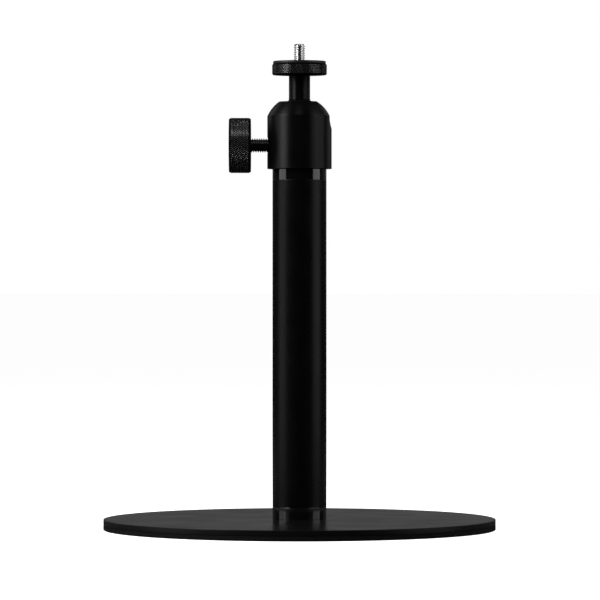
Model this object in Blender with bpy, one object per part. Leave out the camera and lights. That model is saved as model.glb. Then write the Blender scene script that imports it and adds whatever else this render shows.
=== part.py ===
"""A desk stand with a ball head: a weighted round foot, a column, and a clamped ball under a camera screw.

Metres, +Z up. The origin is on the column's axis at desk level. The clamp knob faces -X and the
slot that the neck drops into faces +X. Every turned piece is an outline of (radius, height) points.
"""

import math

import bmesh
import bpy

MM = 0.001
GAP = 0.3 * MM  # between pieces that touch on the real object
MERGE = 0.0001 * MM

FOOT_SIDES = 72
HEAD_SIDES = 48
BALL_SIDES = 32
SCREW_SIDES = 24

# Foot: a rubber pad under a steel plate, held to the column by one bolt from below.
FOOT_RADIUS = 109 * MM
PAD_THICKNESS = 2.6 * MM
PAD_HOLE_RADIUS = 12 * MM
PLATE_THICKNESS = 3 * MM
PLATE_CHAMFER = 0.3 * MM

# M8 fasteners with their threads left plain, and the clearance bores around them.
M8_RADIUS = 4 * MM
M8_BORE_RADIUS = M8_RADIUS + GAP
BOLT_HEAD_RADIUS = 8.5 * MM
BOLT_HEAD_HEIGHT = 2.1 * MM
BOLT_SOCKET_WIDTH = 5 * MM
BOLT_SOCKET_DEPTH = 1.6 * MM
BOLT_TOP = 20 * MM

# Column: a tube between two collars, each with a spigot inside the tube.
COLUMN_RADIUS = 15 * MM
COLUMN_BORE_RADIUS = 13 * MM
COLUMN_LENGTH = 181.1 * MM
LOWER_RING_HEIGHT = 6.3 * MM
UPPER_RING_HEIGHT = 5.8 * MM
SPIGOT_LENGTH = 16 * MM
SPIGOT_RADIUS = COLUMN_BORE_RADIUS - GAP
COLLAR_CHAMFER = 0.2 * MM
STUD_LENGTH = 18 * MM
STUD_SHARE_IN_COLLAR = 12 * MM

# Head housing: a cylinder under a dome, bored from below, with the ball's seat at the top.
HOUSING_RADIUS = 17.9 * MM
HOUSING_HEIGHT = 37.4 * MM
BORE_RADIUS = 11.7 * MM
DOME_RADIUS = 19.45 * MM
DOME_CENTER = 21.6 * MM
BALL_CENTER = 28.5 * MM
THROAT_LATITUDE = 34
MOUTH_RADIUS = 10.2 * MM
SLOT_HALF_WIDTH = 6.3 * MM
PLUG_HEIGHT = 6.4 * MM

# Ball, neck and the round platform that the camera stands on.
BALL_RADIUS = BORE_RADIUS - GAP
NECK_RADIUS = 5.9 * MM
NECK_FLARE_RADIUS = 6.12 * MM
NECK_FLARE_TOP = 10.6 * MM
NECK_TOP = 22.9 * MM
SCREW_RADIUS = 3.175 * MM
SCREW_BORE_RADIUS = 3.5 * MM
SCREW_LENGTH = 23.6 * MM
SCREW_FOOT = 17.2 * MM
SCREW_TIP_CHAMFER = 0.6 * MM
PLATFORM_RADIUS = 15.2 * MM
PLATFORM_HEIGHT = 6.65 * MM
PLATFORM_UNDERCUT = 0.45 * MM
PLATFORM_PAD_RADIUS = 14.65 * MM
PLATFORM_PAD_HEIGHT = 1.25 * MM
PLATFORM_PAD_EDGE = 0.4 * MM

# Clamp: a knob and screw on a level axis, whose cone tip lifts the plastic cup under the ball.
CLAMP_HEIGHT = 13.05 * MM
KNOB_RADIUS = 15.3 * MM
KNOB_INNER_FACE = 27 * MM
KNOB_OUTER_FACE = 39.35 * MM
KNOB_CROWN = 0.17 * MM
KNOB_EDGE = 0.8 * MM
CLAMP_SCREW_INNER = 11.5 * MM
CLAMP_SCREW_OUTER = 36 * MM
COUNTERSINK_RADIUS = 5 * MM
TIP_RADIUS = 3.6 * MM
TIP_NOSE_RADIUS = 0.9 * MM
TIP_NOSE = 5.8 * MM
TIP_SHOULDER = 10.7 * MM
TIP_BACK = 11.2 * MM
CUP_BOTTOM = PLUG_HEIGHT + 1.15 * MM
CUP_TOP = 21.5 * MM
POCKET_DEPTH = 5.5 * MM
POCKET_NOSE_RADIUS = 1.2 * MM
POCKET_MOUTH = 13 * MM

# Heights of the stacked pieces.
PLATE_BOTTOM = PAD_THICKNESS + GAP
PLATE_TOP = PLATE_BOTTOM + PLATE_THICKNESS
LOWER_RING_BOTTOM = PLATE_TOP + GAP
LOWER_RING_TOP = LOWER_RING_BOTTOM + LOWER_RING_HEIGHT
COLUMN_BOTTOM = LOWER_RING_TOP + GAP
COLUMN_TOP = COLUMN_BOTTOM + COLUMN_LENGTH
UPPER_RING_BOTTOM = COLUMN_TOP + GAP
UPPER_RING_TOP = UPPER_RING_BOTTOM + UPPER_RING_HEIGHT
HEAD_BOTTOM = UPPER_RING_TOP + GAP


def clear_scene():
    """Remove everything that the opening scene holds."""
    for old in list(bpy.data.objects):
        bpy.data.objects.remove(old, do_unlink=True)


def material(name, color, roughness, metallic):
    """A Principled material; color is linear red, green and blue."""
    made = bpy.data.materials.new(name)
    made.use_nodes = True
    made.diffuse_color = (*color, 1.0)
    shader = made.node_tree.nodes["Principled BSDF"]
    shader.inputs["Base Color"].default_value = (*color, 1.0)
    shader.inputs["Roughness"].default_value = roughness
    shader.inputs["Metallic"].default_value = metallic
    return made


def axis(name, height, parent=None, tilt=0.0):
    """An empty that carries the pieces turning or sliding on one axis."""
    empty = bpy.data.objects.new(name, None)
    empty.location.z = height
    empty.rotation_euler.y = tilt
    empty.parent = parent
    bpy.context.collection.objects.link(empty)
    return empty


def arc(center, radius, start, end, steps):
    """Points of (radius, height) on a circle about (center radius, center height), angles in degrees."""
    points = []
    for step in range(steps + 1):
        angle = math.radians(start + (end - start) * step / steps)
        points.append((center[0] + radius * math.cos(angle), center[1] + radius * math.sin(angle)))
    return points


def finish_object(name, mesh, finish, parent):
    """Turn an edited mesh into an object that is shaded smooth between its sharp edges."""
    bmesh.ops.recalc_face_normals(mesh, faces=mesh.faces)
    data = bpy.data.meshes.new(name)
    mesh.to_mesh(data)
    mesh.free()
    data.materials.append(finish)
    data.shade_smooth()
    data.set_sharp_from_angle(angle=math.radians(30))
    made = bpy.data.objects.new(name, data)
    made.parent = parent
    bpy.context.collection.objects.link(made)
    return made


def turned(name, outline, finish, parent=None, sides=HEAD_SIDES):
    """A solid turned about its own Z; an outline that starts off the axis is closed into a ring."""
    mesh = bmesh.new()
    points = [mesh.verts.new((max(radius, 0.0), 0, height)) for radius, height in outline]
    edges = [mesh.edges.new(pair) for pair in zip(points, points[1:])]
    if outline[0][0] > MERGE:
        edges.append(mesh.edges.new((points[-1], points[0])))
    bmesh.ops.spin(
        mesh, geom=points + edges, cent=(0, 0, 0), axis=(0, 0, 1),
        angle=2 * math.pi, steps=sides, use_merge=True,
    )
    bmesh.ops.remove_doubles(mesh, verts=mesh.verts, dist=MERGE)
    return finish_object(name, mesh, finish, parent)


def prism(name, outline, start, end, finish, parent=None):
    """A flat outline of (y, z) points carried along X from start to end."""
    mesh = bmesh.new()
    near = mesh.faces.new([mesh.verts.new((start, y, z)) for y, z in outline])
    swept = bmesh.ops.extrude_face_region(mesh, geom=[near])
    moved = [item for item in swept["geom"] if isinstance(item, bmesh.types.BMVert)]
    bmesh.ops.translate(mesh, verts=moved, vec=(end - start, 0, 0))
    return finish_object(name, mesh, finish, parent)


def cut(target, cutter):
    """Subtract a hidden cutter from a piece."""
    cutter.hide_render = True
    cutter.display_type = "WIRE"
    change = target.modifiers.new(cutter.name, "BOOLEAN")
    change.operation = "DIFFERENCE"
    change.object = cutter


def add_foot(rubber, steel, zinc):
    """Pad, plate, and the bolt that passes up through them into the column."""
    turned(
        "base_pad",
        [
            (PAD_HOLE_RADIUS, 0),
            (FOOT_RADIUS, 0),
            (FOOT_RADIUS, PAD_THICKNESS),
            (PAD_HOLE_RADIUS, PAD_THICKNESS),
        ],
        rubber, sides=FOOT_SIDES,
    )
    turned(
        "base_plate",
        [
            (M8_BORE_RADIUS, PLATE_BOTTOM),
            (FOOT_RADIUS - PLATE_CHAMFER, PLATE_BOTTOM),
            (FOOT_RADIUS, PLATE_BOTTOM + PLATE_CHAMFER),
            (FOOT_RADIUS, PLATE_TOP - PLATE_CHAMFER),
            (FOOT_RADIUS - PLATE_CHAMFER, PLATE_TOP),
            (M8_BORE_RADIUS, PLATE_TOP),
        ],
        steel, sides=FOOT_SIDES,
    )
    head_bottom = PAD_THICKNESS - BOLT_HEAD_HEIGHT
    bolt = turned(
        "foot_bolt",
        [
            (0, head_bottom),
            (BOLT_HEAD_RADIUS, head_bottom),
            (BOLT_HEAD_RADIUS, PAD_THICKNESS),
            (M8_RADIUS, PAD_THICKNESS),
            (M8_RADIUS, BOLT_TOP),
            (0, BOLT_TOP),
        ],
        zinc, sides=SCREW_SIDES,
    )
    socket_corner_radius = BOLT_SOCKET_WIDTH / 2 / math.cos(math.radians(30))
    socket = turned(
        "bolt_socket_cutter",
        [
            (0, head_bottom - BOLT_SOCKET_DEPTH),
            (socket_corner_radius, head_bottom - BOLT_SOCKET_DEPTH),
            (socket_corner_radius, head_bottom + BOLT_SOCKET_DEPTH),
            (0, head_bottom + BOLT_SOCKET_DEPTH),
        ],
        zinc, sides=6,
    )
    cut(bolt, socket)


def add_column(anodised, zinc):
    """Tube, its two collars and the stud on top that the head turns on."""
    turned(
        "column_tube",
        [
            (COLUMN_BORE_RADIUS, COLUMN_BOTTOM),
            (COLUMN_RADIUS, COLUMN_BOTTOM),
            (COLUMN_RADIUS, COLUMN_TOP),
            (COLUMN_BORE_RADIUS, COLUMN_TOP),
        ],
        anodised,
    )
    lower_bore_top = BOLT_TOP + M8_RADIUS
    turned(
        "lower_collar",
        [
            (M8_BORE_RADIUS, LOWER_RING_BOTTOM),
            (COLUMN_RADIUS, LOWER_RING_BOTTOM),
            (COLUMN_RADIUS, LOWER_RING_TOP - COLLAR_CHAMFER),
            (COLUMN_RADIUS - COLLAR_CHAMFER, LOWER_RING_TOP),
            (SPIGOT_RADIUS, LOWER_RING_TOP),
            (SPIGOT_RADIUS, LOWER_RING_TOP + SPIGOT_LENGTH),
            (0, LOWER_RING_TOP + SPIGOT_LENGTH),
            (0, lower_bore_top),
            (M8_BORE_RADIUS, lower_bore_top),
        ],
        anodised,
    )
    stud_bottom = UPPER_RING_TOP - STUD_SHARE_IN_COLLAR
    upper_bore_bottom = stud_bottom - GAP
    turned(
        "upper_collar",
        [
            (M8_BORE_RADIUS, UPPER_RING_TOP),
            (COLUMN_RADIUS, UPPER_RING_TOP),
            (COLUMN_RADIUS, UPPER_RING_BOTTOM + COLLAR_CHAMFER),
            (COLUMN_RADIUS - COLLAR_CHAMFER, UPPER_RING_BOTTOM),
            (SPIGOT_RADIUS, UPPER_RING_BOTTOM),
            (SPIGOT_RADIUS, UPPER_RING_BOTTOM - SPIGOT_LENGTH),
            (0, UPPER_RING_BOTTOM - SPIGOT_LENGTH),
            (0, upper_bore_bottom),
            (M8_BORE_RADIUS, upper_bore_bottom),
        ],
        anodised,
    )
    turned(
        "head_stud",
        [
            (0, stud_bottom),
            (M8_RADIUS, stud_bottom),
            (M8_RADIUS, stud_bottom + STUD_LENGTH),
            (0, stud_bottom + STUD_LENGTH),
        ],
        zinc, sides=SCREW_SIDES,
    )


def add_housing(anodised, head_axis, clamp_axis):
    """Domed housing with the ball's seat, the drop slot and the clamp hole, and the plug below."""
    dome_end = math.degrees(math.asin((HOUSING_HEIGHT - DOME_CENTER) / DOME_RADIUS))
    dome_start = math.degrees(math.acos(HOUSING_RADIUS / DOME_RADIUS))
    outline = [(BORE_RADIUS, 0), (HOUSING_RADIUS, 0)]
    outline += arc((0, DOME_CENTER), DOME_RADIUS, dome_start, dome_end, 6)
    outline.append((MOUTH_RADIUS, HOUSING_HEIGHT))
    outline += arc((0, BALL_CENTER), BORE_RADIUS, THROAT_LATITUDE, 0, 5)
    housing = turned("head_housing", outline, anodised, head_axis)

    slot_outline = arc((0, BALL_CENTER), SLOT_HALF_WIDTH, 180, 360, 16)
    slot_outline += [(SLOT_HALF_WIDTH, 1.2 * HOUSING_HEIGHT), (-SLOT_HALF_WIDTH, 1.2 * HOUSING_HEIGHT)]
    slot = prism("slot_cutter", slot_outline, 0, 1.5 * HOUSING_RADIUS, anodised, head_axis)
    cut(housing, slot)

    countersink_start = HOUSING_RADIUS - (COUNTERSINK_RADIUS - M8_BORE_RADIUS)
    cutter_end = HOUSING_RADIUS + M8_RADIUS
    hole = turned(
        "clamp_hole_cutter",
        [
            (0, M8_RADIUS),
            (M8_BORE_RADIUS, M8_RADIUS),
            (M8_BORE_RADIUS, countersink_start),
            (M8_BORE_RADIUS + cutter_end - countersink_start, cutter_end),
            (0, cutter_end),
        ],
        anodised, clamp_axis, SCREW_SIDES,
    )
    cut(housing, hole)

    turned(
        "head_base_plug",
        [
            (M8_BORE_RADIUS, GAP),
            (BORE_RADIUS - GAP, GAP),
            (BORE_RADIUS - GAP, PLUG_HEIGHT + GAP),
            (M8_BORE_RADIUS, PLUG_HEIGHT + GAP),
        ],
        anodised, head_axis,
    )


def add_clamp(anodised, steel, brass, clamp_axis):
    """Knob, screw and cone tip, drawn outwards from the column's axis."""
    nose_gap = CLAMP_SCREW_OUTER + GAP
    face_edge = KNOB_OUTER_FACE - KNOB_CROWN
    outline = [(M8_BORE_RADIUS, nose_gap), (M8_BORE_RADIUS, KNOB_INNER_FACE)]
    outline += arc((KNOB_RADIUS - KNOB_EDGE, KNOB_INNER_FACE + KNOB_EDGE), KNOB_EDGE, -90, 0, 4)
    outline += arc((KNOB_RADIUS - KNOB_EDGE, face_edge - KNOB_EDGE), KNOB_EDGE, 0, 90, 4)
    outline += [(0, KNOB_OUTER_FACE), (0, nose_gap)]
    turned("clamp_knob", outline, anodised, clamp_axis)
    turned(
        "clamp_screw",
        [
            (0, CLAMP_SCREW_INNER),
            (M8_RADIUS, CLAMP_SCREW_INNER),
            (M8_RADIUS, CLAMP_SCREW_OUTER),
            (0, CLAMP_SCREW_OUTER),
        ],
        steel, clamp_axis, SCREW_SIDES,
    )
    turned(
        "clamp_tip",
        [
            (0, TIP_NOSE),
            (TIP_NOSE_RADIUS, TIP_NOSE),
            (TIP_RADIUS, TIP_SHOULDER),
            (TIP_RADIUS, TIP_BACK),
            (0, TIP_BACK),
        ],
        brass, clamp_axis, SCREW_SIDES,
    )


def add_cup(acetal, head_axis, clamp_axis):
    """Plastic cup under the ball, with the tapered pocket that the cone tip pushes into."""
    wall_angle = math.degrees(math.asin((CUP_TOP - BALL_CENTER) / BORE_RADIUS))
    outline = [(0, CUP_BOTTOM), (BALL_RADIUS, CUP_BOTTOM), (BALL_RADIUS, CUP_TOP)]
    outline += arc((0, BALL_CENTER), BORE_RADIUS, wall_angle, -90, 7)
    cup = turned("ball_seat", outline, acetal, head_axis)
    taper = (TIP_RADIUS - TIP_NOSE_RADIUS) / (TIP_SHOULDER - TIP_NOSE)
    mouth_radius = POCKET_NOSE_RADIUS + taper * (POCKET_MOUTH - POCKET_DEPTH)
    pocket = turned(
        "pocket_cutter",
        [
            (0, POCKET_DEPTH),
            (POCKET_NOSE_RADIUS, POCKET_DEPTH),
            (mouth_radius, POCKET_MOUTH),
            (0, POCKET_MOUTH),
        ],
        acetal, clamp_axis, SCREW_SIDES,
    )
    cut(cup, pocket)


def add_ball_and_neck(steel, ball_center):
    """Ball and its neck, drawn from the ball's centre."""
    turned("ball", arc((0, 0), BALL_RADIUS, -90, 90, BALL_SIDES // 2), steel, ball_center, BALL_SIDES)
    flare_angle = math.degrees(math.acos(NECK_FLARE_RADIUS / BORE_RADIUS))
    outline = arc((0, 0), BORE_RADIUS, 90, flare_angle, 4)
    outline += [
        (NECK_RADIUS, NECK_FLARE_TOP),
        (NECK_RADIUS, NECK_TOP),
        (SCREW_BORE_RADIUS, NECK_TOP),
        (SCREW_BORE_RADIUS, SCREW_FOOT - GAP),
        (0, SCREW_FOOT - GAP),
    ]
    turned("neck", outline, steel, ball_center, BALL_SIDES)


def add_platform(anodised, rubber, steel, ball_center):
    """Knurled platform, its pad and the camera screw, drawn from the ball's centre."""
    bottom = NECK_TOP + GAP
    top = bottom + PLATFORM_HEIGHT
    turned(
        "platform",
        [
            (SCREW_BORE_RADIUS, bottom),
            (NECK_RADIUS, bottom),
            (PLATFORM_RADIUS - GAP, bottom + PLATFORM_UNDERCUT),
            (PLATFORM_RADIUS, bottom + PLATFORM_UNDERCUT + GAP),
            (PLATFORM_RADIUS, top),
            (SCREW_BORE_RADIUS, top),
        ],
        anodised, ball_center,
    )
    pad_bottom = top + GAP
    pad_top = pad_bottom + PLATFORM_PAD_HEIGHT
    outline = [(SCREW_BORE_RADIUS, pad_bottom), (PLATFORM_PAD_RADIUS, pad_bottom)]
    edge_center = (PLATFORM_PAD_RADIUS - PLATFORM_PAD_EDGE, pad_top - PLATFORM_PAD_EDGE)
    outline += arc(edge_center, PLATFORM_PAD_EDGE, 0, 90, 3)
    outline.append((SCREW_BORE_RADIUS, pad_top))
    turned("platform_pad", outline, rubber, ball_center)
    tip = SCREW_FOOT + SCREW_LENGTH
    turned(
        "camera_screw",
        [
            (0, SCREW_FOOT),
            (SCREW_RADIUS, SCREW_FOOT),
            (SCREW_RADIUS, tip - SCREW_TIP_CHAMFER),
            (SCREW_RADIUS - SCREW_TIP_CHAMFER, tip),
            (0, tip),
        ],
        steel, ball_center, SCREW_SIDES,
    )


clear_scene()

rubber = material("rubber", (0.012, 0.012, 0.012), 0.75, 0.0)
painted_steel = material("painted_steel", (0.010, 0.010, 0.011), 0.35, 0.0)
anodised = material("anodised_aluminium", (0.010, 0.010, 0.010), 0.35, 0.6)
black_steel = material("black_steel", (0.014, 0.014, 0.015), 0.30, 0.8)
bright_steel = material("bright_steel", (0.60, 0.60, 0.61), 0.22, 1.0)
zinc = material("zinc_plated_steel", (0.42, 0.42, 0.43), 0.35, 1.0)
acetal = material("acetal", (0.02, 0.02, 0.02), 0.45, 0.0)
brass = material("brass", (0.60, 0.42, 0.16), 0.30, 1.0)

head_turn_axis = axis("head_turn_axis", HEAD_BOTTOM)
outwards = math.radians(-90)
clamp_turn_axis = axis("clamp_turn_axis", CLAMP_HEIGHT, head_turn_axis, outwards)
ball_tilt_center = axis("ball_tilt_center", BALL_CENTER, head_turn_axis)

add_foot(rubber, painted_steel, zinc)
add_column(anodised, zinc)
add_housing(anodised, head_turn_axis, clamp_turn_axis)
add_clamp(anodised, black_steel, brass, clamp_turn_axis)
add_cup(acetal, head_turn_axis, clamp_turn_axis)
add_ball_and_neck(black_steel, ball_tilt_center)
add_platform(anodised, rubber, bright_steel, ball_tilt_center)
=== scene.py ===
"""Looks of a desk stand with a ball head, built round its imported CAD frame. Metres, +Z up."""

import math

import bmesh
import bpy
from mathutils import Matrix, Vector


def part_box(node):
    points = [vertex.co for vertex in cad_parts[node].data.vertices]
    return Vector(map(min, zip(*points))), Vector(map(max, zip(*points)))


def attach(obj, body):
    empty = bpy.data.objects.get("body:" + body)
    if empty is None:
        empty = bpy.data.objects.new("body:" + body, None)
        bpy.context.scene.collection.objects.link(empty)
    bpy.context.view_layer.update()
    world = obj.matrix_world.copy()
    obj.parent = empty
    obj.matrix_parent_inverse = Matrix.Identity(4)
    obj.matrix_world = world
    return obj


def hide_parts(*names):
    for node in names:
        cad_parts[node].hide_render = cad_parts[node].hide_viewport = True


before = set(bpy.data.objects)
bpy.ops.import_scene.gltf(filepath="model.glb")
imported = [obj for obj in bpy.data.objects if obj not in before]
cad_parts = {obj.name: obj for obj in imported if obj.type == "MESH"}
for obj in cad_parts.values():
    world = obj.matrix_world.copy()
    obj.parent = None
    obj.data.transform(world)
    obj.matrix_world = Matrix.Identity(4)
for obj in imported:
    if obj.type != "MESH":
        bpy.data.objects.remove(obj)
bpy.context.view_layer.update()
MM = 0.001


# Foot pad. A ring punched from black rubber sheet and glued under the steel disc, so that the foot
# grips the desk. Its edge is cut square, with only a slight rounding.


CREASE = 32


def grey(level):
    """A neutral colour."""
    return (level, level, level, 1)


class Value:
    """One output of a node. Sums with it add Math nodes to the same tree."""

    def __init__(self, nodes, socket):
        self.nodes = nodes
        self.socket = socket

    def sum(self, operation, left, right):
        """The result of a Math node that works on two values or numbers."""
        return self.nodes.node("ShaderNodeMath", {"operation": operation}, {0: left, 1: right})

    def __add__(self, other):
        return self.sum("ADD", self, other)

    def __sub__(self, other):
        return self.sum("SUBTRACT", self, other)

    def __rsub__(self, other):
        return self.sum("SUBTRACT", other, self)

    def __mul__(self, other):
        return self.sum("MULTIPLY", self, other)

    __radd__ = __add__
    __rmul__ = __mul__


class Nodes:
    """A node tree that nodes are added to, one call each."""

    def __init__(self, tree):
        self.tree = tree

    def node(self, kind, settings=None, inputs=None, output=0):
        """Add one node: its settings first, then the values or links of its sockets."""
        made = self.tree.nodes.new(kind)
        for key, value in (settings or {}).items():
            setattr(made, key, value)
        for key, value in (inputs or {}).items():
            if isinstance(value, Value):
                self.tree.links.new(value.socket, made.inputs[key])
            else:
                made.inputs[key].default_value = value
        return Value(self, made.outputs[output])

    def spread(self, value, low, high, to_low, to_high):
        """Stretch part of a value's range over a new one, with its ends cut off."""
        return self.node(
            "ShaderNodeMapRange",
            inputs={
                "Value": value, "From Min": low, "From Max": high, "To Min": to_low, "To Max": to_high
            },
        )

    def vary(self, noise, low, high):
        """Turn noise, which mostly stays within 0.3 to 0.7, into values from low to high."""
        return self.spread(noise, 0.3, 0.7, low, high)

    def blend(self, share, first, second):
        """A colour between two; the node's sockets 0, 6 and 7 are the share and the colours."""
        return self.node(
            "ShaderNodeMix", {"data_type": "RGBA"}, {0: share, 6: first, 7: second}, output=2
        )


class Finish(Nodes):
    """A material whose pattern is worked out from the surface's own place on the object."""

    def __init__(self, name, **constants):
        self.material = bpy.data.materials.new(name)
        self.material.use_nodes = True
        super().__init__(self.material.node_tree)
        self.shader = self.tree.nodes["Principled BSDF"]
        for socket, value in constants.items():
            self.shader.inputs[socket.replace("_", " ")].default_value = value
        self.place = self.node("ShaderNodeTexCoord", output="Object")

    def grain(self, size, detail=2.0, stretch=(1, 1, 1)):
        """Noise with lumps of about one size, drawn out along the axes whose stretch is below 1."""
        at = self.node("ShaderNodeMapping", inputs={"Vector": self.place, "Scale": stretch})
        return self.node(
            "ShaderNodeTexNoise", inputs={"Vector": at, "Scale": 1 / size, "Detail": detail}
        )

    def feed(self, socket, value):
        """Link a value to one of the shader's own sockets."""
        self.tree.links.new(value.socket, self.shader.inputs[socket])

    def relief(self, height, depth):
        """Raise and sink the surface's shading by a height of 0 to 1 times a depth in metres."""
        bumped = self.node(
            "ShaderNodeBump", inputs={"Height": height, "Distance": depth, "Strength": 1.0}
        )
        self.feed("Normal", bumped)


def turned(outline, sides):
    """A bmesh turned about Z from (radius, height) points; one that starts off the axis is a ring."""
    mesh = bmesh.new()
    points = [mesh.verts.new((radius, 0, height)) for radius, height in outline]
    edges = [mesh.edges.new(pair) for pair in zip(points, points[1:])]
    if outline[0][0] > 0:
        edges.append(mesh.edges.new((points[-1], points[0])))
    bmesh.ops.spin(
        mesh, geom=points + edges, cent=(0, 0, 0), axis=(0, 0, 1),
        angle=2 * math.pi, steps=sides, use_merge=True,
    )
    bmesh.ops.remove_doubles(mesh, verts=mesh.verts, dist=0.0001 * MM)
    bmesh.ops.recalc_face_normals(mesh, faces=mesh.faces)
    return mesh


def soften(mesh, width, segments=2, sharper_than=35, chosen=None):
    """Round the edges that turn by more than an angle, or those chosen."""
    if chosen is None:
        limit = math.radians(sharper_than)
        chosen = [
            edge for edge in mesh.edges
            if len(edge.link_faces) == 2 and edge.calc_face_angle() > limit
        ]
    bmesh.ops.bevel(
        mesh, geom=chosen, offset=width, offset_type="OFFSET", segments=segments,
        profile=0.5, affect="EDGES", clamp_overlap=True, material=-1,
    )


def flatten_shading(made):
    """Let the large faces set the shading, so that rounded edges don't bend it across them."""
    weights = made.modifiers.new("flat_faces", "WEIGHTED_NORMAL")
    weights.keep_sharp = True


def piece(name, mesh, finish, crease=CREASE, uncut=True):
    """Turn a finished bmesh into an object at the origin, smooth except across creases."""
    data = bpy.data.meshes.new(name)
    mesh.to_mesh(data)
    mesh.free()
    data.materials.append(finish.material)
    data.shade_smooth()
    data.set_sharp_from_angle(angle=math.radians(crease))
    made = bpy.data.objects.new(name, data)
    bpy.context.scene.collection.objects.link(made)
    if uncut:
        flatten_shading(made)
    return made


def arc(center, radius, start, end, steps):
    """Points on a circle about a (radius, height) centre, with the angles in degrees."""
    points = []
    for step in range(steps + 1):
        angle = math.radians(start + (end - start) * step / steps)
        points.append((center[0] + radius * math.cos(angle), center[1] + radius * math.sin(angle)))
    return points


pad_low, pad_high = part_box("base_pad")
PAD_HOLE_RADIUS = 12 * MM
PAD_EDGE = 0.3 * MM
FOOT_SIDES = 288

rubber = Finish("foot_rubber", Roughness=0.8, Specular_IOR_Level=0.1)
rubber_grain = rubber.grain(0.45 * MM, detail=4.0)
rubber_dust = rubber.grain(9 * MM, detail=3.0)
dusty = rubber.spread(rubber_dust, 0.5, 0.75, 0.0, 0.5)
rubber.feed("Base Color", rubber.blend(dusty, grey(0.0035), grey(0.007)))
rubber.feed("Roughness", rubber.vary(rubber_grain, 0.72, 0.9))
rubber.relief(rubber_grain, 0.05 * MM)

pad_mesh = turned(
    [
        (PAD_HOLE_RADIUS, pad_low.z),
        (pad_high.x, pad_low.z),
        (pad_high.x, pad_high.z),
        (PAD_HOLE_RADIUS, pad_high.z),
    ],
    FOOT_SIDES,
)
soften(pad_mesh, PAD_EDGE)
foot_pad = piece("foot_pad", pad_mesh, rubber)
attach(foot_pad, "stand")
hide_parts("base_pad")


# Foot disc. A laser-cut steel disc, 3 mm thick, that gives the stand its weight. Its edges are
# rounded by a third of a millimetre, and it is powder coated black, which leaves a faint orange
# peel and a slightly duller edge.

plate_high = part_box("base_plate")[1]
PLATE_HOLE_RADIUS = 4.3 * MM
PLATE_EDGE = 0.35 * MM

coat = Finish("plate_paint", Roughness=0.30, Specular_IOR_Level=0.12)
peel = coat.grain(1.1 * MM)
coat_cloud = coat.grain(26 * MM, detail=3.0)
coat_dust = coat.grain(0.5 * MM, detail=1.0)
specks = coat.spread(coat_dust, 0.74, 0.82, 0.0, 0.35)
coat.feed("Base Color", coat.blend(specks, (0.004, 0.004, 0.0041, 1), grey(0.014)))
from_axis = coat.node("ShaderNodeVectorMath", {"operation": "LENGTH"}, {0: coat.place}, output="Value")
rim = coat.spread(from_axis, plate_high.x - 0.4 * MM, plate_high.x - 0.1 * MM, 0.0, 0.12)
coat.feed("Roughness", coat.spread(coat_cloud, 0.35, 0.65, 0.22, 0.26) + specks * 0.1 + rim)
coat.relief(peel, 0.010 * MM)

plate_mesh = turned(
    [
        (PLATE_HOLE_RADIUS, pad_high.z),
        (plate_high.x, pad_high.z),
        (plate_high.x, plate_high.z),
        (PLATE_HOLE_RADIUS, plate_high.z),
    ],
    FOOT_SIDES,
)
soften(plate_mesh, PLATE_EDGE, segments=3)
foot_disc = piece("foot_disc", plate_mesh, coat)
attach(foot_disc, "stand")
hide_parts("base_plate")


# Foot bolt. An M8 furniture bolt of zinc-plated steel with a wide flat head and a hex socket. It
# goes up through the pad and the disc into the lower collar, so that only its head shows.

bolt_low, bolt_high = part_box("foot_bolt")
BOLT_HEAD_RADIUS = bolt_high.x
BOLT_HEAD_TOP = pad_high.z
BOLT_SHANK_RADIUS = 4 * MM
BOLT_SOCKET_WIDTH = 5 * MM
BOLT_SOCKET_DEPTH = 1.6 * MM
BOLT_EDGE = 0.25 * MM
BOLT_OVERLAP = 0.2 * MM
M8_PITCH = 1.25 * MM
THREAD_DEPTH = 0.6134
HIDDEN_THREAD_SIDES = 48
SMALL_SIDES = 96
NEAR = MM / 100


def thread(radius, pitch, low, high, sides=HIDDEN_THREAD_SIDES):
    """A right-hand V thread about Z with flat crests, cut square at both heights."""
    mesh = bmesh.new()
    core = radius - THREAD_DEPTH * pitch
    # Each point is a radius and a share of the pitch: root, rising flank, crest, falling flank.
    flanks = [(core, 0), (core, 0.25), (radius, 0.5625), (radius, 0.6875), (core, 1)]
    turns = math.ceil((high - low) / pitch) + 2
    start = low - pitch
    points = [mesh.verts.new((wide, 0, start + share * pitch)) for wide, share in flanks]
    edges = [mesh.edges.new(pair) for pair in zip(points, points[1:])]
    bmesh.ops.spin(
        mesh, geom=points + edges, cent=(0, 0, 0), axis=(0, 0, 1),
        dvec=(0, 0, pitch / sides), angle=2 * math.pi * turns, steps=sides * turns,
    )
    bmesh.ops.remove_doubles(mesh, verts=mesh.verts, dist=0.002 * MM)
    for height, normal in ((low, (0, 0, -1)), (high, (0, 0, 1))):
        bmesh.ops.bisect_plane(
            mesh, geom=mesh.verts[:] + mesh.edges[:] + mesh.faces[:],
            plane_co=(0, 0, height), plane_no=normal, clear_outer=True,
        )
        rim = [
            edge for edge in mesh.edges
            if edge.is_boundary and all(abs(vert.co.z - height) < NEAR for vert in edge.verts)
        ]
        bmesh.ops.contextual_create(mesh, geom=rim)
    bmesh.ops.recalc_face_normals(mesh, faces=mesh.faces)
    return mesh


def join(mesh, other):
    """Add a second bmesh to the first."""
    data = bpy.data.meshes.new("joining")
    other.to_mesh(data)
    other.free()
    mesh.from_mesh(data)
    bpy.data.meshes.remove(data)


zinc = Finish("zinc_steel", Metallic=1.0, Roughness=0.3)
zinc_cloud = zinc.grain(2.5 * MM, detail=3.0)
zinc.feed("Base Color", zinc.blend(zinc_cloud, (0.40, 0.41, 0.43, 1), (0.52, 0.53, 0.55, 1)))
zinc.feed("Roughness", zinc.vary(zinc_cloud, 0.24, 0.38))
zinc.relief(zinc.grain(0.3 * MM), 0.004 * MM)

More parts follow.
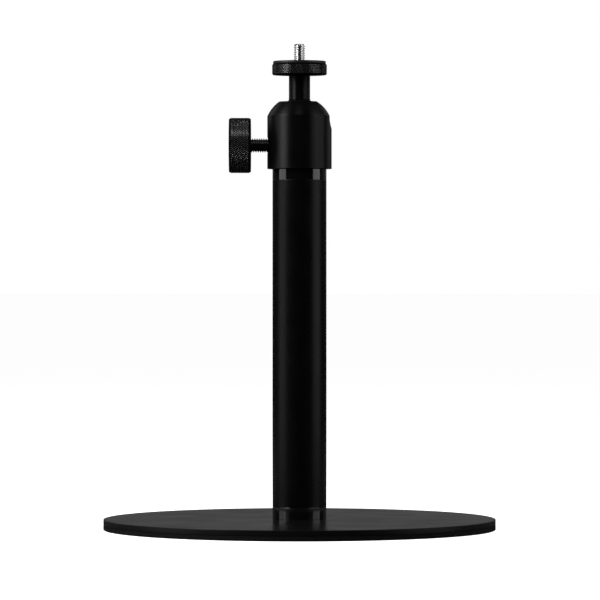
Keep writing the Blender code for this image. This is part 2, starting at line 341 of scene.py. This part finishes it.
socket_radius = BOLT_SOCKET_WIDTH / 2 / math.cos(math.radians(30))
head_mesh = turned(
    [
        (0, bolt_low.z + BOLT_SOCKET_DEPTH),
        (socket_radius, bolt_low.z + BOLT_SOCKET_DEPTH),
        (socket_radius, bolt_low.z),
        (BOLT_HEAD_RADIUS, bolt_low.z),
        (BOLT_HEAD_RADIUS, BOLT_HEAD_TOP),
        (0, BOLT_HEAD_TOP),
    ],
    SMALL_SIDES,
)
for vert in head_mesh.verts:
    if abs(vert.co.xy.length - socket_radius) < NEAR:
        from_flat = math.atan2(vert.co.y, vert.co.x) % math.radians(60) - math.radians(30)
        vert.co.xy *= BOLT_SOCKET_WIDTH / 2 / math.cos(from_flat) / socket_radius
soften(head_mesh, BOLT_EDGE)
join(head_mesh, thread(BOLT_SHANK_RADIUS, M8_PITCH, BOLT_HEAD_TOP - BOLT_OVERLAP, bolt_high.z))
foot_bolt_hex = piece("foot_bolt_hex", head_mesh, zinc)
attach(foot_bolt_hex, "stand")
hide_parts("foot_bolt")


# Lower collar. A turned aluminium ring with a spigot that is pressed into the tube. The foot bolt
# is screwed into its middle. The ring is polished and gloss black, and it is as wide as the tube.

collar_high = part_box("lower_collar")[1]
column_low, column_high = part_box("column_tube")
COLUMN_RADIUS = column_high.x
HALF_SEAM = 0.15 * MM
LOWER_SEAM = column_low.z - HALF_SEAM
SPIGOT_RADIUS = 12.7 * MM
COLLAR_BORE_RADIUS = 4.3 * MM
BORE_BEYOND_BOLT = 4 * MM
TUBE_EDGE = 0.18 * MM
COLUMN_SIDES = 160


def black_finish(name, level, roughness, lines, depth, **constants):
    """Black over turned or drawn metal; its fine lines run along the axes near 0 in lines."""
    made = Finish(name, Roughness=roughness, **constants)
    cloud = made.grain(14 * MM, detail=3.0)
    lay = made.grain(0.16 * MM, stretch=lines)
    blast = made.grain(0.12 * MM, detail=1.0)
    made.feed("Base Color", made.blend(cloud, grey(level), grey(1.5 * level)))
    uneven = made.vary(cloud, -0.03, 0.03) + made.vary(lay, -0.02, 0.02)
    made.feed("Roughness", uneven + roughness)
    made.relief(lay * 0.7 + blast * 0.3, depth)
    return made


gloss = black_finish("collar_gloss_black", 0.0018, 0.06, (0, 0, 1), 0.0006 * MM)
lower_mesh = turned(
    [
        (COLLAR_BORE_RADIUS, plate_high.z),
        (COLUMN_RADIUS, plate_high.z),
        (COLUMN_RADIUS, LOWER_SEAM),
        (SPIGOT_RADIUS, LOWER_SEAM),
        (SPIGOT_RADIUS, collar_high.z),
        (0, collar_high.z),
        (0, bolt_high.z + BORE_BEYOND_BOLT),
        (COLLAR_BORE_RADIUS, bolt_high.z + BORE_BEYOND_BOLT),
    ],
    COLUMN_SIDES,
)
soften(lower_mesh, TUBE_EDGE)
collar_lower = piece("collar_lower_gloss", lower_mesh, gloss)
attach(collar_lower, "stand")
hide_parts("lower_collar")


# Column. A 30 mm drawn aluminium tube, cut square and black anodised to a satin sheen, with the
# faint lengthwise lines that drawing leaves.

COLUMN_BORE_RADIUS = 13 * MM
UPPER_SEAM = column_high.z + HALF_SEAM

satin = black_finish(
    "column_satin_black", 0.0010, 0.28, (1, 1, 0.01), 0.0022 * MM,
    Specular_IOR_Level=0.095, Anisotropic=0.5,
)
column_mesh = turned(
    [
        (COLUMN_BORE_RADIUS, LOWER_SEAM),
        (COLUMN_RADIUS, LOWER_SEAM),
        (COLUMN_RADIUS, UPPER_SEAM),
        (COLUMN_BORE_RADIUS, UPPER_SEAM),
    ],
    COLUMN_SIDES,
)
soften(column_mesh, TUBE_EDGE)
column = piece("column_tube_satin", column_mesh, satin)
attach(column, "stand")
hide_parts("column_tube")


# Upper collar. The same turned and polished ring as the lower one, upside down, with its spigot
# pressed into the top of the tube. The head's stud is glued into its middle.

housing_low, housing_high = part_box("head_housing")
upper_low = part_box("upper_collar")[0]
stud_low, stud_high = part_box("head_stud")
HEAD_GAP = 0.1 * MM
UPPER_RING_TOP = housing_low.z - HEAD_GAP

upper_mesh = turned(
    [
        (COLLAR_BORE_RADIUS, UPPER_RING_TOP),
        (COLUMN_RADIUS, UPPER_RING_TOP),
        (COLUMN_RADIUS, UPPER_SEAM),
        (SPIGOT_RADIUS, UPPER_SEAM),
        (SPIGOT_RADIUS, upper_low.z),
        (0, upper_low.z),
        (0, stud_low.z),
        (COLLAR_BORE_RADIUS, stud_low.z),
    ],
    COLUMN_SIDES,
)
soften(upper_mesh, TUBE_EDGE)
collar_upper = piece("collar_upper_gloss", upper_mesh, gloss)
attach(collar_upper, "stand")
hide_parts("upper_collar")


# Head stud. An M8 stud of zinc-plated steel, glued into the upper collar. The head turns on it,
# so it is out of sight once the stand is together.

stud = piece("head_stud_m8", thread(stud_high.x, M8_PITCH, stud_low.z, stud_high.z), zinc)
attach(stud, "stand")
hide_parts("head_stud")


# Head housing. Turned from one aluminium bar: a cylinder under a dome, bored from below, with the
# ball's seat left at the top. The drop slot is milled down one side and the clamp hole is drilled
# and countersunk in the other. Black anodised, a little duller than the column.

ball_low, ball_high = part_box("ball")
knob_low, knob_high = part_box("clamp_knob")
HEAD_BOTTOM = housing_low.z
HEAD_TOP = housing_high.z
HEAD_RADIUS = housing_high.x
BALL_CENTER = (ball_low.z + ball_high.z) / 2
BALL_RADIUS = ball_high.x
CLAMP_HEIGHT = (knob_low.z + knob_high.z) / 2
BALL_CLEARANCE = 0.3 * MM
HEAD_BORE_RADIUS = BALL_RADIUS + BALL_CLEARANCE
DOME_RADIUS = 19.45 * MM
DOME_CENTER = HEAD_BOTTOM + 21.6 * MM
THROAT_LATITUDE = 34
MOUTH_RADIUS = 10.2 * MM
SLOT_HALF_WIDTH = 6.3 * MM
CLAMP_HOLE_RADIUS = 4.3 * MM
CLAMP_HOLE_START = BALL_RADIUS - 3 * MM
COUNTERSINK = 0.7 * MM
HEAD_SIDES = 144
SCREW_SIDES = 64
LIP = 0.25 * MM
MILLED_EDGE = 0.22 * MM


def outwards(mesh):
    """Turn a mesh drawn along Z onto the clamp's axis, so that its height runs outwards along -X."""
    tipped = Matrix.Rotation(math.radians(-90), 4, "Y")
    moved = Matrix.Translation((0, 0, CLAMP_HEIGHT)) @ tipped
    bmesh.ops.transform(mesh, matrix=moved, verts=mesh.verts)


def carve(target, mesh, finish):
    """Subtract a bmesh from a piece; the faces that the cut leaves carry the finish."""
    cutter = piece("cutter", mesh, finish, uncut=False)
    change = target.modifiers.new("carve", "BOOLEAN")
    change.operation = "DIFFERENCE"
    change.solver = "EXACT"
    change.object = cutter
    change.material_mode = "TRANSFER"
    shaped = target.evaluated_get(bpy.context.evaluated_depsgraph_get())
    carved = bpy.data.meshes.new_from_object(shaped)
    target.modifiers.clear()
    old = target.data
    target.data = carved
    bpy.data.meshes.remove(old)
    bpy.data.objects.remove(cutter)


housing_finish = black_finish(
    "housing_black", 0.0012, 0.38, (0, 0, 1), 0.0016 * MM,
    Specular_IOR_Level=0.10, Anisotropic=0.8, Anisotropic_Rotation=0.25,
)
cut_mark = Finish("cut_marker")

dome_start = math.degrees(math.acos(HEAD_RADIUS / DOME_RADIUS))
dome_end = math.degrees(math.asin((HEAD_TOP - DOME_CENTER) / DOME_RADIUS))
housing_outline = [(HEAD_BORE_RADIUS, HEAD_BOTTOM)]
housing_outline += arc((HEAD_RADIUS - LIP, HEAD_BOTTOM + LIP), LIP, -90, 0, steps=3)
housing_outline += arc((0, DOME_CENTER), DOME_RADIUS, dome_start, dome_end, steps=14)
housing_outline.append((MOUTH_RADIUS, HEAD_TOP))
housing_outline += arc((0, BALL_CENTER), HEAD_BORE_RADIUS, THROAT_LATITUDE, 0, steps=8)
housing = piece("head_housing_turned", turned(housing_outline, HEAD_SIDES), housing_finish, uncut=False)

slot_mesh = bmesh.new()
slot_top = HEAD_TOP + BALL_RADIUS
slot_outline = arc((0, BALL_CENTER), SLOT_HALF_WIDTH, 180, 360, steps=28)
slot_outline += [(SLOT_HALF_WIDTH, slot_top), (-SLOT_HALF_WIDTH, slot_top)]
slot_face = slot_mesh.faces.new([slot_mesh.verts.new((0, y, z)) for y, z in slot_outline])
slot_swept = bmesh.ops.extrude_face_region(slot_mesh, geom=[slot_face])
slot_far = [item for item in slot_swept["geom"] if isinstance(item, bmesh.types.BMVert)]
bmesh.ops.translate(slot_mesh, verts=slot_far, vec=(2 * HEAD_RADIUS, 0, 0))
bmesh.ops.recalc_face_normals(slot_mesh, faces=slot_mesh.faces)
carve(housing, slot_mesh, cut_mark)

hole_mesh = turned(
    [
        (0, CLAMP_HOLE_START),
        (CLAMP_HOLE_RADIUS, CLAMP_HOLE_START),
        (CLAMP_HOLE_RADIUS, HEAD_RADIUS - COUNTERSINK),
        (CLAMP_HOLE_RADIUS + 3 * COUNTERSINK, HEAD_RADIUS + 2 * COUNTERSINK),
        (0, HEAD_RADIUS + 2 * COUNTERSINK),
    ],
    SCREW_SIDES,
)
outwards(hole_mesh)
carve(housing, hole_mesh, cut_mark)

# The cuts left faces of a second material, and the edges where the two materials meet are rounded.
milled = bmesh.new()
milled.from_mesh(housing.data)
bmesh.ops.remove_doubles(milled, verts=milled.verts, dist=0.02 * MM)
cut_edges = [
    edge for edge in milled.edges
    if len(edge.link_faces) == 2
    and edge.link_faces[0].material_index != edge.link_faces[1].material_index
]
soften(milled, MILLED_EDGE, chosen=cut_edges)
for face in milled.faces:
    face.material_index = 0
milled.to_mesh(housing.data)
milled.free()
housing.data.materials.clear()
housing.data.materials.append(housing_finish.material)
housing.data.shade_smooth()
housing.data.set_sharp_from_angle(angle=math.radians(CREASE))
flatten_shading(housing)
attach(housing, "head")
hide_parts("head_housing")


# Base plug. A turned aluminium plug pressed into the bottom of the housing, tapped for the stud.
# It is out of sight once the stand is together.

plug_low, plug_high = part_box("head_base_plug")
PLUG_BORE_RADIUS = 4.3 * MM
PLUG_EDGE = 0.3 * MM

plug_mesh = turned(
    [
        (PLUG_BORE_RADIUS, plug_low.z),
        (plug_high.x, plug_low.z),
        (plug_high.x, plug_high.z),
        (PLUG_BORE_RADIUS, plug_high.z),
    ],
    SMALL_SIDES,
)
soften(plug_mesh, PLUG_EDGE)
plug = piece("head_base_plug_turned", plug_mesh, housing_finish)
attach(plug, "head")
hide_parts("head_base_plug")


# Clamp tip. A turned brass cone that doesn't turn with the screw. It is inside the housing, so it
# keeps its CAD shape and gets a finish with the rings that turning leaves.

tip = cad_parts["clamp_tip"]
brass = Finish("tip_brass", Metallic=1.0, Roughness=0.3)
brass_rings = brass.grain(0.2 * MM, stretch=(1, 0, 0))
brass.feed("Base Color", brass.blend(brass_rings, (0.55, 0.37, 0.13, 1), (0.66, 0.47, 0.19, 1)))
brass.relief(brass_rings, 0.003 * MM)
tip.data.materials.clear()
tip.data.materials.append(brass.material)


# Ball seat. A cup moulded in black acetal, which the cone lifts against the ball. It is inside the
# housing too, so it keeps its CAD shape and gets the fine grain of a moulding.

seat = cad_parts["ball_seat"]
acetal = Finish("seat_acetal", Roughness=0.45)
acetal_grain = acetal.grain(0.4 * MM)
acetal.feed("Base Color", acetal.blend(acetal_grain, grey(0.018), grey(0.026)))
acetal.relief(acetal_grain, 0.006 * MM)
seat.data.materials.clear()
seat.data.materials.append(acetal.material)


# Clamp screw. An M8 steel screw with black oxide, glued into the knob at one end. It comes out of
# the countersunk hole, where its thread can be seen.

screw_low, screw_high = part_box("clamp_screw")
CLAMP_SCREW_RADIUS = 3.95 * MM

oxide = black_finish("black_steel", 0.003, 0.20, (0, 0, 1), 0.0008 * MM)
shank_oxide = black_finish("clamp_screw_black", 0.014, 0.24, (1, 0, 0), 0.0010 * MM)
shank_mesh = thread(CLAMP_SCREW_RADIUS, M8_PITCH, -screw_high.x, -screw_low.x, SCREW_SIDES)
outwards(shank_mesh)
shank = piece("clamp_screw_threaded", shank_mesh, shank_oxide)
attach(shank, "clamp")
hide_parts("clamp_screw")


# Clamp knob. A turned aluminium disc with a rolled diamond knurl between rounded edges, its outer
# face very slightly crowned. Black anodised, with the flat crests of the knurl worn brighter.

KNOB_RADIUS = (knob_high.z - knob_low.z) / 2
KNOB_INNER_FACE = -knob_high.x
KNOB_OUTER_FACE = -knob_low.x
KNOB_CROWN = 0.17 * MM
KNOB_EDGE = 0.7 * MM
KNURL_DEPTH = 0.24 * MM
KNURL_FLAT = 0.31 * MM
KNURL_COLUMNS = 172
KNURL_ROW = 0.835 * MM
KNURL_CREASE = 25


def knurled(radius, low, high):
    """An open band about Z, covered in four-sided pyramids whose flat tops lie on the radius."""
    rows = round((high - low) / KNURL_ROW)
    step = (high - low) / rows
    mesh = bmesh.new()
    points = [mesh.verts.new((radius, 0, low + step * row)) for row in range(rows + 1)]
    edges = [mesh.edges.new(pair) for pair in zip(points, points[1:])]
    bmesh.ops.spin(
        mesh, geom=points + edges, cent=(0, 0, 0), axis=(0, 0, 1),
        angle=2 * math.pi, steps=KNURL_COLUMNS, use_merge=True,
    )
    bmesh.ops.remove_doubles(mesh, verts=mesh.verts, dist=0.001 * MM)
    peaks = []
    for vert in mesh.verts:
        turn = math.atan2(vert.co.y, vert.co.x) / (2 * math.pi)
        row = round((vert.co.z - low) / step)
        if (round(turn * KNURL_COLUMNS) + row) % 2 == 0 and 0 < row < rows:
            peaks.append(vert)
        else:
            vert.co.xy *= (radius - KNURL_DEPTH) / radius
    bmesh.ops.triangulate(mesh, faces=mesh.faces, quad_method="SHORT_EDGE")
    bmesh.ops.bevel(
        mesh, geom=peaks, offset=KNURL_FLAT, offset_type="OFFSET", segments=1,
        profile=0.5, affect="VERTICES", clamp_overlap=True, material=-1,
    )
    above_grooves = radius - 0.9 * KNURL_DEPTH
    for vert in mesh.verts:
        if low < vert.co.z < high and vert.co.xy.length > above_grooves:
            vert.co.xy *= radius / vert.co.xy.length
    return mesh


def close_band(mesh, height, outline):
    """Carry the rim at one height through (radius, height) points and fill what is left."""
    rim = [
        edge for edge in mesh.edges
        if edge.is_boundary and abs(edge.verts[0].co.z - height) < NEAR
    ]
    for radius, level in outline:
        grown = bmesh.ops.extrude_edge_only(mesh, edges=rim)["geom"]
        rim = [item for item in grown if isinstance(item, bmesh.types.BMEdge)]
        for vert in [item for item in grown if isinstance(item, bmesh.types.BMVert)]:
            vert.co.xy = vert.co.xy.normalized() * radius
            vert.co.z = level
    bmesh.ops.contextual_create(mesh, geom=rim)


def mark_crests(mesh, radius):
    """Store each point's height on the knurl, 0 in its grooves to 1 on its crests, for the finish."""
    crest = mesh.verts.layers.float.new("crest")
    for vert in mesh.verts:
        height = (vert.co.xy.length - radius + KNURL_DEPTH) / KNURL_DEPTH
        vert[crest] = min(max(height, 0.0), 1.0)


def knurl_finish(name, lines, shine, roughness, **constants):
    """Black anodising over a knurl, worn through to brighter metal on its crests."""
    made = Finish(name, Specular_IOR_Level=0.02, **constants)
    crest = made.node("ShaderNodeAttribute", {"attribute_name": "crest"}, output="Fac")
    blotch = made.grain(3 * MM, detail=3.0)
    bare = made.spread(crest, 0.90, 1.0, 0.0, 1.0)
    worn = bare * made.vary(blotch, 0.85, 1.0)
    made.feed("Base Color", made.blend(worn, grey(0.002), grey(shine)))
    made.feed("Metallic", bare * 0.96)
    made.feed("Roughness", roughness + 0.15 - worn * 0.15)
    made.relief(made.grain(0.12 * MM, stretch=lines), 0.002 * MM)
    return made


knob_finish = knurl_finish("knob_knurled_black", (1, 0.05, 0.05), 0.27, 0.28)
knob_band_low = KNOB_INNER_FACE + KNOB_EDGE
knob_band_high = KNOB_OUTER_FACE - KNOB_CROWN - KNOB_EDGE
knob_mesh = knurled(KNOB_RADIUS, knob_band_low, knob_band_high)
edge_radius = KNOB_RADIUS - KNURL_DEPTH - KNOB_EDGE
inner_edge = arc((edge_radius, knob_band_low), KNOB_EDGE, 0, -90, steps=5)[1:]
outer_edge = arc((edge_radius, knob_band_high), KNOB_EDGE, 0, 90, steps=5)[1:]
crown = [
    (share * edge_radius, KNOB_OUTER_FACE - KNOB_CROWN * share**2)
    for share in (0.8, 0.6, 0.4, 0.2, 0.05)
]
close_band(knob_mesh, knob_band_low, inner_edge)
close_band(knob_mesh, knob_band_high, outer_edge + crown)
bmesh.ops.recalc_face_normals(knob_mesh, faces=knob_mesh.faces)
mark_crests(knob_mesh, KNOB_RADIUS)
outwards(knob_mesh)
knob = piece("clamp_knob_knurled", knob_mesh, knob_finish, crease=KNURL_CREASE)
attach(knob, "clamp")
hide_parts("clamp_knob")


# Ball. A steel ball, ground and polished, then blackened. It shows in the mouth of the housing and
# down the drop slot.

ball_mesh = turned(arc((0, 0), BALL_RADIUS, -90, 90, steps=SMALL_SIDES // 2), SMALL_SIDES)
bmesh.ops.translate(ball_mesh, verts=ball_mesh.verts, vec=(0, 0, BALL_CENTER))
ball = piece("ball_polished", ball_mesh, oxide)
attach(ball, "ball")
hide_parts("ball")


# Neck. The short round stem between the ball and the platform, of the same blackened steel but
# left as turned. It flares a little where it meets the ball.

platform_low, platform_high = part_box("platform")
NECK_RADIUS = 5.9 * MM
NECK_FOOT = BALL_CENTER + 9.97 * MM
NECK_FLARE = 0.22 * MM
NECK_FLARE_HEIGHT = 0.6 * MM
NECK_POINT = 0.4 * MM
NECK_GAP = 0.05 * MM

neck_outline = [(0, NECK_FOOT - NECK_POINT), (NECK_RADIUS + NECK_FLARE, NECK_FOOT)]
neck_outline += arc(
    (NECK_RADIUS + NECK_FLARE_HEIGHT, NECK_FOOT + NECK_FLARE_HEIGHT),
    NECK_FLARE_HEIGHT, 230, 180, steps=4,
)
neck_top = platform_low.z - NECK_GAP
neck_outline += [(NECK_RADIUS, neck_top), (0, neck_top)]
neck_oxide = black_finish(
    "neck_turned_black", 0.0012, 0.42, (0, 0, 1), 0.0010 * MM,
    Specular_IOR_Level=0.1, Anisotropic=1.0, Anisotropic_Rotation=0.25,
)
neck = piece("neck_stem", turned(neck_outline, SMALL_SIDES), neck_oxide)
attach(neck, "neck")
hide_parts("neck")


# Platform. A turned aluminium disc, screwed onto the neck. It has the same rolled knurl round its
# edge as the knob, and a shallow cone underneath.

PLATFORM_RADIUS = platform_high.x
PLATFORM_CHAMFER = 0.3 * MM
PLATFORM_UNDERCUT = 0.45 * MM
PLATFORM_HUB = 1 * MM

platform_finish = knurl_finish(
    "platform_knurled_black", (0.05, 0.05, 1), 0.12, 0.38,
    Anisotropic=0.9, Anisotropic_Rotation=0.25,
)
platform_band_low = platform_low.z + PLATFORM_UNDERCUT + PLATFORM_CHAMFER
platform_band_high = platform_high.z - PLATFORM_CHAMFER
platform_mesh = knurled(PLATFORM_RADIUS, platform_band_low, platform_band_high)
under_radius = PLATFORM_RADIUS - KNURL_DEPTH - PLATFORM_CHAMFER
underside = [
    (under_radius, platform_low.z + PLATFORM_UNDERCUT),
    (NECK_RADIUS, platform_low.z),
    (PLATFORM_HUB, platform_low.z),
]
upper_side = [(under_radius, platform_high.z), (PLATFORM_HUB, platform_high.z)]
close_band(platform_mesh, platform_band_low, underside)
close_band(platform_mesh, platform_band_high, upper_side)
bmesh.ops.recalc_face_normals(platform_mesh, faces=platform_mesh.faces)
mark_crests(platform_mesh, PLATFORM_RADIUS)
platform = piece("platform_knurled", platform_mesh, platform_finish, crease=KNURL_CREASE)
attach(platform, "top")
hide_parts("platform")


# Platform pad. A thin disc of smooth black rubber, glued on the platform to grip the camera. Its
# rim is rounded, and the screw comes up through the hole in its middle.

top_pad_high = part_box("platform_pad")[1]
TOP_PAD_HOLE = 3.5 * MM
TOP_PAD_EDGE = 0.4 * MM
TOP_PAD_SIDES = 128

pad_finish = Finish("pad_rubber", Roughness=0.5, Specular_IOR_Level=0.28)
pad_grain = pad_finish.grain(0.35 * MM, detail=3.0)
pad_finish.feed("Base Color", pad_finish.blend(pad_grain, grey(0.004), grey(0.006)))
pad_finish.feed("Roughness", pad_finish.vary(pad_grain, 0.45, 0.55))
pad_finish.relief(pad_grain, 0.010 * MM)
top_pad_mesh = turned(
    [
        (TOP_PAD_HOLE, platform_high.z),
        (top_pad_high.x, platform_high.z),
        (top_pad_high.x, top_pad_high.z),
        (TOP_PAD_HOLE, top_pad_high.z),
    ],
    TOP_PAD_SIDES,
)
soften(top_pad_mesh, TOP_PAD_EDGE, segments=4)
top_pad = piece("platform_pad_smooth", top_pad_mesh, pad_finish)
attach(top_pad, "top")
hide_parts("platform_pad")


# Camera screw. A bright plated 1/4 inch screw, 20 threads to the inch, with a chamfered end. It
# is fixed in the platform and is the only bright piece above the foot.

camera_low, camera_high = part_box("camera_screw")
CAMERA_PITCH = 1.27 * MM
CAMERA_TIP = 0.6 * MM

bright = Finish("bright_steel", Metallic=1.0, Roughness=0.2)
bright_cloud = bright.grain(0.8 * MM, detail=3.0)
bright.feed("Base Color", bright.blend(bright_cloud, (0.55, 0.55, 0.56, 1), (0.70, 0.70, 0.71, 1)))
bright.feed("Roughness", bright.vary(bright_cloud, 0.14, 0.26))
camera_mesh = thread(camera_high.x, CAMERA_PITCH, camera_low.z, camera_high.z, SCREW_SIDES)
for vert in camera_mesh.verts:
    widest = camera_high.x - CAMERA_TIP + (camera_high.z - vert.co.z)
    if vert.co.xy.length > widest:
        vert.co.xy *= widest / vert.co.xy.length
camera_screw = piece("camera_screw_threaded", camera_mesh, bright)
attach(camera_screw, "top")
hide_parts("camera_screw")


# Studio. The floor and surroundings are white to the camera; reflections see a dark floor with a
# paler strip on each side. Tall panels stand at the sides, with two above them and weaker ones in
# front, overhead and behind. The camera is 2.4 m away and looks down by half a degree.

VIEW_DISTANCE = 2.432
VIEW_HEIGHT = 0.1469
AIM_HEIGHT = 0.1275
VIEW_OFFSET = 0.28 * MM
VIEW_ANGLE = 7.843

FLOOR_SIZE = 40
FLOOR_GLOW = 0.97
FLOOR_SEEN = 0.8
FLOOR_DIM = 0.03
FLOOR_STRIP = 0.3
STRIP_FADES_IN = (0.12, 0.30)
STRIP_FADES_OUT = (0.8, 1.3)
FLOOR_GAP = 0.05 * MM

BACKDROP_WIDE = 0.06
BACKDROP_MIDDLE = 0.11
BACKDROP_REST = 0.002

SIDE_TARGET = (0, 0, 0.50)
HEAD_TARGET = (0, 0, 0.21)
TOP_TARGET = (0, 0, 0.2)
BACK_TARGET = (0, 0, 0.17)


def aimed(made, place, target):
    """Place an object and point its -Z axis at a target."""
    bpy.context.scene.collection.objects.link(made)
    made.location = place
    made.rotation_euler = (Vector(target) - Vector(place)).to_track_quat("-Z", "Y").to_euler()
    return made


def panel(name, azimuth, elevation, distance, size, watts, target):
    """A soft rectangular light round the target; azimuth 0 is the camera's side, 90 the +X side."""
    light = bpy.data.lights.new(name, "AREA")
    light.shape = "RECTANGLE"
    light.size, light.size_y = size
    light.energy = watts
    turn, rise = math.radians(azimuth), math.radians(elevation)
    away = Vector((math.sin(turn) * math.cos(rise), -math.cos(turn) * math.cos(rise), math.sin(rise)))
    made = aimed(bpy.data.objects.new(name, light), Vector(target) + away * distance, target)
    made.visible_camera = False
    return made


floor_mesh = bmesh.new()
bmesh.ops.create_grid(floor_mesh, x_segments=1, y_segments=1, size=FLOOR_SIZE / 2)
floor_finish = Finish("floor_pale")
seen = floor_finish.node("ShaderNodeLightPath", output="Is Camera Ray")
floor_x = floor_finish.node("ShaderNodeSeparateXYZ", inputs={"Vector": floor_finish.place}, output="X")
aside = floor_finish.node("ShaderNodeMath", {"operation": "ABSOLUTE"}, {0: floor_x})
strip_in = floor_finish.spread(aside, *STRIP_FADES_IN, 0.0, 1.0)
strip_out = floor_finish.spread(aside, *STRIP_FADES_OUT, 1.0, 0.0)
reflected = floor_finish.blend(strip_in * strip_out, grey(FLOOR_DIM), grey(FLOOR_STRIP))
dimmed = floor_finish.blend(seen, reflected, grey(FLOOR_SEEN))
diffuse = floor_finish.node("ShaderNodeBsdfDiffuse", inputs={"Color": dimmed})
glow = floor_finish.node("ShaderNodeEmission", inputs={"Color": grey(1), "Strength": seen * FLOOR_GLOW})
lit = floor_finish.node("ShaderNodeAddShader", inputs={0: diffuse, 1: glow})
floor_output = floor_finish.tree.nodes["Material Output"]
floor_finish.tree.links.new(lit.socket, floor_output.inputs["Surface"])
floor = piece("floor", floor_mesh, floor_finish)
floor.location.z = pad_low.z - FLOOR_GAP

world = bpy.data.worlds.new("studio")
bpy.context.scene.world = world
world.use_nodes = True
air = Nodes(world.node_tree)
toward = air.node("ShaderNodeTexCoord", output="Generated")
across = air.node("ShaderNodeSeparateXYZ", inputs={"Vector": toward}, output="X")
along = air.node("ShaderNodeSeparateXYZ", inputs={"Vector": toward}, output="Y")
up = air.node("ShaderNodeSeparateXYZ", inputs={"Vector": toward}, output="Z")
wide_part = air.spread(along, -0.2, 0.75, 0.0, BACKDROP_WIDE)
middle_part = air.spread(along, 0.8, 0.98, 0.0, BACKDROP_MIDDLE)
more_to_right = air.spread(across, -0.7, 0.7, 0.55, 1.45)
less_above = air.spread(up, 0.1, 0.6, 1.0, 0.2)
backdrop = (wide_part + middle_part) * more_to_right * less_above + BACKDROP_REST
camera_ray = air.node("ShaderNodeLightPath", output="Is Camera Ray")
strength = camera_ray + (1 - camera_ray) * backdrop
background = world.node_tree.nodes["Background"]
background.inputs["Color"].default_value = grey(1)
world.node_tree.links.new(strength.socket, background.inputs["Strength"])

# Azimuth and elevation in degrees, distance, width and height in metres, watts, and target.
panel("left_panel", -78, 0, 0.9, (0.585, 1.0), 3.3, SIDE_TARGET)
panel("right_panel", 78, 0, 0.9, (0.585, 1.0), 3.3, SIDE_TARGET)
panel("left_upper_panel", -60, 23, 1.0, (0.42, 0.50), 10.6, HEAD_TARGET)
panel("right_upper_panel", 57, 23, 1.0, (0.42, 0.50), 2.4, HEAD_TARGET)
panel("front_panel", -3, 53, 1.2, (0.34, 0.36), 1.1, HEAD_TARGET)
panel("top_panel", 0, 88, 1.1, (0.8, 0.8), 0.5, TOP_TARGET)
panel("back_left_panel", -132, 24, 1.0, (0.40, 0.60), 0.7, BACK_TARGET)
panel("back_right_panel", 132, 24, 1.0, (0.40, 0.60), 0.7, BACK_TARGET)

view = bpy.data.cameras.new("camera")
view.angle = math.radians(VIEW_ANGLE)
camera = aimed(
    bpy.data.objects.new("camera", view),
    (VIEW_OFFSET, -VIEW_DISTANCE, VIEW_HEIGHT), (VIEW_OFFSET, 0, AIM_HEIGHT),
)
bpy.context.scene.camera = camera
bpy.context.scene.view_settings.view_transform = "Standard"
